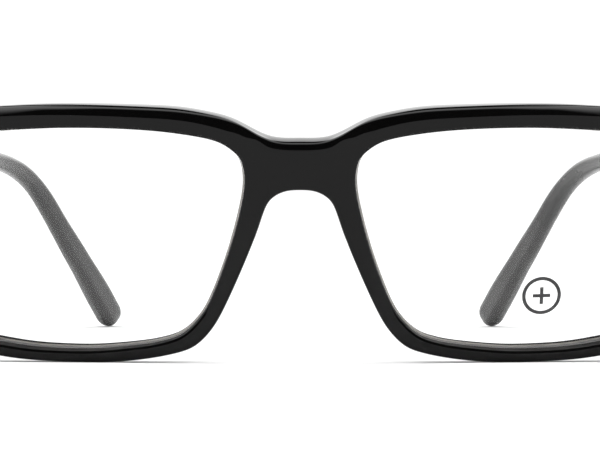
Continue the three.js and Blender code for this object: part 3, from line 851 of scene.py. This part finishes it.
def clear_lens():
    """Clear coated acrylic with the faintest haze."""
    material, tree, shader = new_material("clear acrylic")
    shader.inputs["Base Color"].default_value = (0.995, 1.0, 0.998, 1)
    shader.inputs["Transmission Weight"].default_value = 1.0
    shader.inputs["IOR"].default_value = 1.45
    shader.inputs["Specular Tint"].default_value = (COATING, COATING, COATING, 1)
    haze = node(tree, "ShaderNodeTexNoise", Scale=60.0, Detail=2.0)
    tree.links.new(object_place(tree, (1, 1, 1)), haze.inputs["Vector"])
    tree.links.new(ranged(tree, haze.outputs["Fac"], 0.0, 0.006), shader.inputs["Roughness"])
    return material


def frosted_edge(name, tone):
    """The ground edge of a demo lens: matt and slightly warm. Its tone also paints light: a near-black tone
    paints shade along the lens's V edge, a pale one paints a thin highlight along its safety bevel.
    """
    material, tree, shader = new_material(name)
    shader.inputs["Transmission Weight"].default_value = 0.35
    shader.inputs["IOR"].default_value = 1.45
    grit = node(tree, "ShaderNodeTexNoise", Scale=3000.0, Detail=2.0)
    tree.links.new(object_place(tree, (1, 1, 1)), grit.inputs["Vector"])
    colours = node(tree, "ShaderNodeValToRGB")
    colours.color_ramp.elements[0].color = (tone * 0.75, tone * 0.68, tone * 0.6, 1)
    colours.color_ramp.elements[1].color = (tone, tone * 0.94, tone * 0.86, 1)
    tree.links.new(grit.outputs["Fac"], colours.inputs["Fac"])
    tree.links.new(colours.outputs["Color"], shader.inputs["Base Color"])
    tree.links.new(ranged(tree, grit.outputs["Fac"], 0.35, 0.6), shader.inputs["Roughness"])
    bump = node(tree, "ShaderNodeBump", Strength=0.15, Distance=0.00005)
    tree.links.new(grit.outputs["Fac"], bump.inputs["Height"])
    tree.links.new(bump.outputs["Normal"], shader.inputs["Normal"])
    return material


def metal(name, tone, roughness, grain):
    """Metal with fine brushed grain and small stains."""
    material, tree, shader = new_material(name)
    shader.inputs["Metallic"].default_value = 1.0
    stain = node(tree, "ShaderNodeTexNoise", Scale=500.0, Detail=4.0)
    tree.links.new(object_place(tree, (1, 1, 1)), stain.inputs["Vector"])
    colours = node(tree, "ShaderNodeValToRGB")
    colours.color_ramp.elements[0].color = (*[channel * 0.75 for channel in tone], 1)
    colours.color_ramp.elements[1].color = (*tone, 1)
    tree.links.new(stain.outputs["Fac"], colours.inputs["Fac"])
    tree.links.new(colours.outputs["Color"], shader.inputs["Base Color"])
    brush = node(tree, "ShaderNodeTexNoise", Scale=2500.0, Detail=3.0)
    tree.links.new(object_place(tree, grain), brush.inputs["Vector"])
    polish = ranged(tree, brush.outputs["Fac"], roughness * 0.7, roughness * 1.4)
    tree.links.new(polish, shader.inputs["Roughness"])
    bump = node(tree, "ShaderNodeBump", Strength=0.12, Distance=0.00004)
    tree.links.new(brush.outputs["Fac"], bump.inputs["Height"])
    tree.links.new(bump.outputs["Normal"], shader.inputs["Normal"])
    return material


def print_ink():
    """Matt dark printing with slightly uneven cover."""
    material, tree, shader = new_material("printing ink")
    patch = node(tree, "ShaderNodeTexNoise", Scale=1800.0, Detail=3.0)
    tree.links.new(object_place(tree, (1, 1, 1)), patch.inputs["Vector"])
    colours = node(tree, "ShaderNodeValToRGB")
    colours.color_ramp.elements[0].color = (0.018, 0.018, 0.019, 1)
    colours.color_ramp.elements[1].color = (0.035, 0.035, 0.036, 1)
    tree.links.new(patch.outputs["Fac"], colours.inputs["Fac"])
    tree.links.new(colours.outputs["Color"], shader.inputs["Base Color"])
    tree.links.new(ranged(tree, patch.outputs["Fac"], 0.45, 0.65), shader.inputs["Roughness"])
    return material


FRONT_ACETATE = acetate("polished black acetate", 0.0016, 0.05, 1.265)
ROUTED = acetate("routed acetate", 0.012, 0.5, 1.07)
# The same black acetate as the front, with a lighter tone (0.03 against 0.0016) that paints part of the
# light the temples reflect.
TEMPLE_ACETATE_PAINTED_LIGHT = acetate("temple black acetate, painted light", 0.03, 0.2, 1.5)
CLEAR = clear_lens()
# The lens's ground V edge, near black: painted shade along the walls of the openings.
EDGE_PAINTED_SHADE = frosted_edge("ground lens edge, painted shade", 0.03)
# The real safety bevel, made pale: a painted highlight as a thin line round the openings.
BEVEL = frosted_edge("lens safety bevel, painted highlight", 0.28)
NICKEL = metal("nickel silver", (0.74, 0.71, 0.64), 0.28, (1, 1, 0.1))
STEEL = metal("polished steel", (0.76, 0.76, 0.77), 0.16, (1, 1, 1))
WIRE = metal("drawn wire", (0.62, 0.62, 0.62), 0.3, (1, 0.05, 1))
INK = print_ink()


# ---------- Assembly ----------

# A wall of a lens opening: how near the edge its faces lie, and how squarely they may face backwards.
OPENING_WALL = {"reach": 1.6, "facing": 0.6}
BEVEL_FACING = (0.77, 0.95)  # how squarely the lens's safety bevel faces backwards
FRONT_PINS = (("lower", -3.6), ("upper", 3.6))  # up from the pivot
TEMPLE_PINS = (("front", 4.8), ("back", 8.4))  # back from the temple's front end


def fit(piece, material, body, slot, *nodes):
    """Gives a piece its finish and its CAD body, and hides the CAD nodes it stands for."""
    piece.data.materials.clear()
    piece.data.materials.append(material)
    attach(piece, body)
    if nodes:
        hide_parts(*nodes)
    return piece


def place_on_face(face):
    """Where a mesh face lies on the front (across, up), and how squarely it faces backwards."""
    place = (np.array(face.center) - DESIGN_ORIGIN) / MM
    up = place[2] * math.cos(LEAN) - place[1] * math.sin(LEAN)
    direction = inward(place[0], up)
    y = direction[1] * math.cos(LEAN) - direction[2] * math.sin(LEAN)
    z = direction[1] * math.sin(LEAN) + direction[2] * math.cos(LEAN)
    return np.array([place[0], up]), np.dot(face.normal, (direction[0], y, z))


def frost_lens_edge(lens):
    """Gives a lens's V edge a ground finish darkened to paint shade, and the small safety bevel round its
    back a paler one that paints a thin highlight.
    """
    lens.data.materials.append(EDGE_PAINTED_SHADE)
    lens.data.materials.append(BEVEL)
    for face in lens.data.polygons:
        facing = place_on_face(face)[1]
        if abs(facing) < BEVEL_FACING[0]:
            face.material_index = 1
        elif BEVEL_FACING[0] <= facing < BEVEL_FACING[1]:
            face.material_index = 2


def rout_openings(front):
    """Leaves the walls of the lens openings as the router cut them, without the polish of the rest."""
    front.data.materials.append(ROUTED)
    loops = [opening_loop(side) for side in SIDES.values()]
    for face in front.data.polygons:
        place, facing = place_on_face(face)
        if abs(facing) > OPENING_WALL["facing"]:
            continue
        loop = loops[0] if place[0] > 0 else loops[1]
        gap = np.linalg.norm(loop - place, axis=1).min()
        to_middle = (LENS_CENTRE[0] * math.copysign(1, place[0]) - place[0], LENS_CENTRE[1] - place[1])
        if gap < OPENING_WALL["reach"] and face.normal.x * to_middle[0] + face.normal.z * to_middle[1] > 0:
            face.material_index = 1


rout_openings(fit(make_front(), FRONT_ACETATE, "front", "black_acetate", "frame_front"))
fit(make_lens_mark(), INK, "front", "demo_lens")

for label, side in SIDES.items():
    lens = fit(make_lens(label, side), CLEAR, "front", "demo_lens", f"lens_{label}")
    frost_lens_edge(lens)
    lens.visible_shadow = False
    fit(make_nose_pad(label, side), FRONT_ACETATE, "front", "black_acetate", f"nose_pad_{label}")
    fit(make_front_hinge(label, side), NICKEL, "front", "hinge_metal", f"front_hinge_{label}")
    fit(make_screw(label, side), STEEL, "front", "screw_metal", f"hinge_screw_{label}")
    for end, rise in FRONT_PINS:
        place = (PIN_ACROSS, PLATE_FACE, PIVOT[2] + rise)
        pin = make_pin(f"pin_front_{end}_{label}", place, "y", side)
        fit(pin, STEEL, "front", "screw_metal", f"front_pin_{end}_{label}")
    body = TEMPLE_BODY[label]
    fit(make_temple(label, side), TEMPLE_ACETATE_PAINTED_LIGHT, body, "temple_acetate", f"temple_{label}")
    fit(make_temple_hinge(label, side), NICKEL, body, "hinge_metal", f"temple_hinge_{label}")
    for end, back in TEMPLE_PINS:
        place = (TEMPLE_INNER - 0.1, TEMPLE_FRONT + back, PIVOT[2])
        pin = make_pin(f"pin_temple_{end}_{label}", place, "x", side)
        fit(pin, STEEL, body, "screw_metal", f"temple_pin_{end}_{label}")
    core = frame["nodes"][f"temple_core_{label}"]
    core.data.materials.clear()
    core.data.materials.append(WIRE)


# ---------- Stage, light and camera ----------


def make_floor():
    """A plain pale floor under and behind the glasses."""
    material, tree, shader = new_material("pale floor")
    shader.inputs["Base Color"].default_value = (0.86, 0.86, 0.86, 1)
    shader.inputs["Roughness"].default_value = 0.9
    shader.inputs["Specular IOR Level"].default_value = 0.0
    reach = 40.0
    mesh = bpy.data.meshes.new("floor")
    corners = [(-reach, -reach, 0), (reach, -reach, 0), (reach, reach, 0), (-reach, reach, 0)]
    mesh.from_pydata(corners, [], [(0, 1, 2, 3)])
    floor = bpy.data.objects.new("floor", mesh)
    mesh.materials.append(material)
    bpy.context.scene.collection.objects.link(floor)


FLOOR_LIGHT = 1.0
EVEN = 0.85  # what scattered light sees on every side
BACKDROP = 1.1  # what the camera sees where nothing is in the way
WHITE = 1.15  # the foot of the wall behind
WALL_GLOW = 0.6  # what the wall gains higher up
OVERHEAD = 5.0
SIDE_PANELS = 4.0
DARK = 0.015


def make_world():
    """A studio: a white wall behind, softboxes above and to the sides, and a dark room in front."""
    world = bpy.data.worlds.new("studio")
    bpy.context.scene.world = world
    world.use_nodes = True
    tree = world.node_tree
    background = tree.nodes["Background"]
    background.inputs["Color"].default_value = (1, 1, 1, 1)
    direction = node(tree, "ShaderNodeTexCoord")
    split = node(tree, "ShaderNodeSeparateXYZ")
    tree.links.new(direction.outputs["Generated"], split.inputs["Vector"])

    def step(source, start, end):
        ramp = node(tree, "ShaderNodeMapRange", interpolation_type="SMOOTHSTEP")
        ramp.inputs["From Min"].default_value = start
        ramp.inputs["From Max"].default_value = end
        tree.links.new(source, ramp.inputs["Value"])
        return ramp.outputs["Result"]

    def maths(operation, first, second):
        made = node(tree, "ShaderNodeMath", operation=operation)
        for socket, value in zip(made.inputs, (first, second)):
            if isinstance(value, (int, float)):
                socket.default_value = value
            else:
                tree.links.new(value, socket)
        return made.outputs["Value"]

    high = split.outputs["Z"]
    back = split.outputs["Y"]
    overhead = maths("MULTIPLY", step(high, 0.8, 0.96), step(back, 0.02, -0.03))
    aside = step(maths("ABSOLUTE", split.outputs["X"], 0), 0.1, 0.32)
    panels = maths("MULTIPLY", maths("MULTIPLY", aside, step(high, 0.35, 0.5)), step(back, -0.03, 0.02))
    behind = maths("MULTIPLY", step(back, -0.25, 0.1), step(high, 0.85, 0.6))
    wall = maths("ADD", maths("MULTIPLY", step(high, 0.15, 0.4), WALL_GLOW), WHITE - DARK)
    level = maths("ADD", maths("MULTIPLY", behind, wall), DARK)
    level = maths("ADD", level, maths("MULTIPLY", overhead, OVERHEAD))
    level = maths("ADD", level, maths("MULTIPLY", panels, SIDE_PANELS))
    tree.links.new(level, background.inputs["Strength"])
    path = node(tree, "ShaderNodeLightPath")
    shown = background.outputs["Background"]
    for kind, strength in (("Is Diffuse Ray", EVEN), ("Is Camera Ray", BACKDROP)):
        plain = node(tree, "ShaderNodeBackground")
        plain.inputs["Color"].default_value = (1, 1, 1, 1)
        plain.inputs["Strength"].default_value = strength
        mix = node(tree, "ShaderNodeMixShader")
        tree.links.new(path.outputs[kind], mix.inputs["Fac"])
        tree.links.new(shown, mix.inputs[1])
        tree.links.new(plain.outputs["Background"], mix.inputs[2])
        shown = mix.outputs["Shader"]
    tree.links.new(shown, tree.nodes["World Output"].inputs["Surface"])


def make_lights():
    """A very broad overhead light that whitens the floor evenly without showing in the gloss."""
    lamp = bpy.data.lights.new("overhead", "SUN")
    lamp.angle = math.radians(100)
    lamp.energy = FLOOR_LIGHT
    light = bpy.data.objects.new("overhead", lamp)
    light.visible_glossy = False
    bpy.context.scene.collection.objects.link(light)


CAMERA_DISTANCE = 0.3245  # from the design's origin
CAMERA_HEIGHT = 0.02076
FOCAL_SHARE = 1963 / 600  # focal length over picture width


def make_camera():
    lens = bpy.data.cameras.new("camera")
    lens.sensor_width = 36
    lens.lens = 36 * FOCAL_SHARE
    lens.clip_start = 0.01
    camera = bpy.data.objects.new("camera", lens)
    camera.location = (0, DESIGN_ORIGIN[1] - CAMERA_DISTANCE, CAMERA_HEIGHT)
    camera.rotation_euler = (math.pi / 2, 0, 0)
    bpy.context.scene.collection.objects.link(camera)
    bpy.context.scene.camera = camera


make_floor()
make_world()
make_lights()
make_camera()
bpy.context.scene.view_settings.view_transform = "Standard"
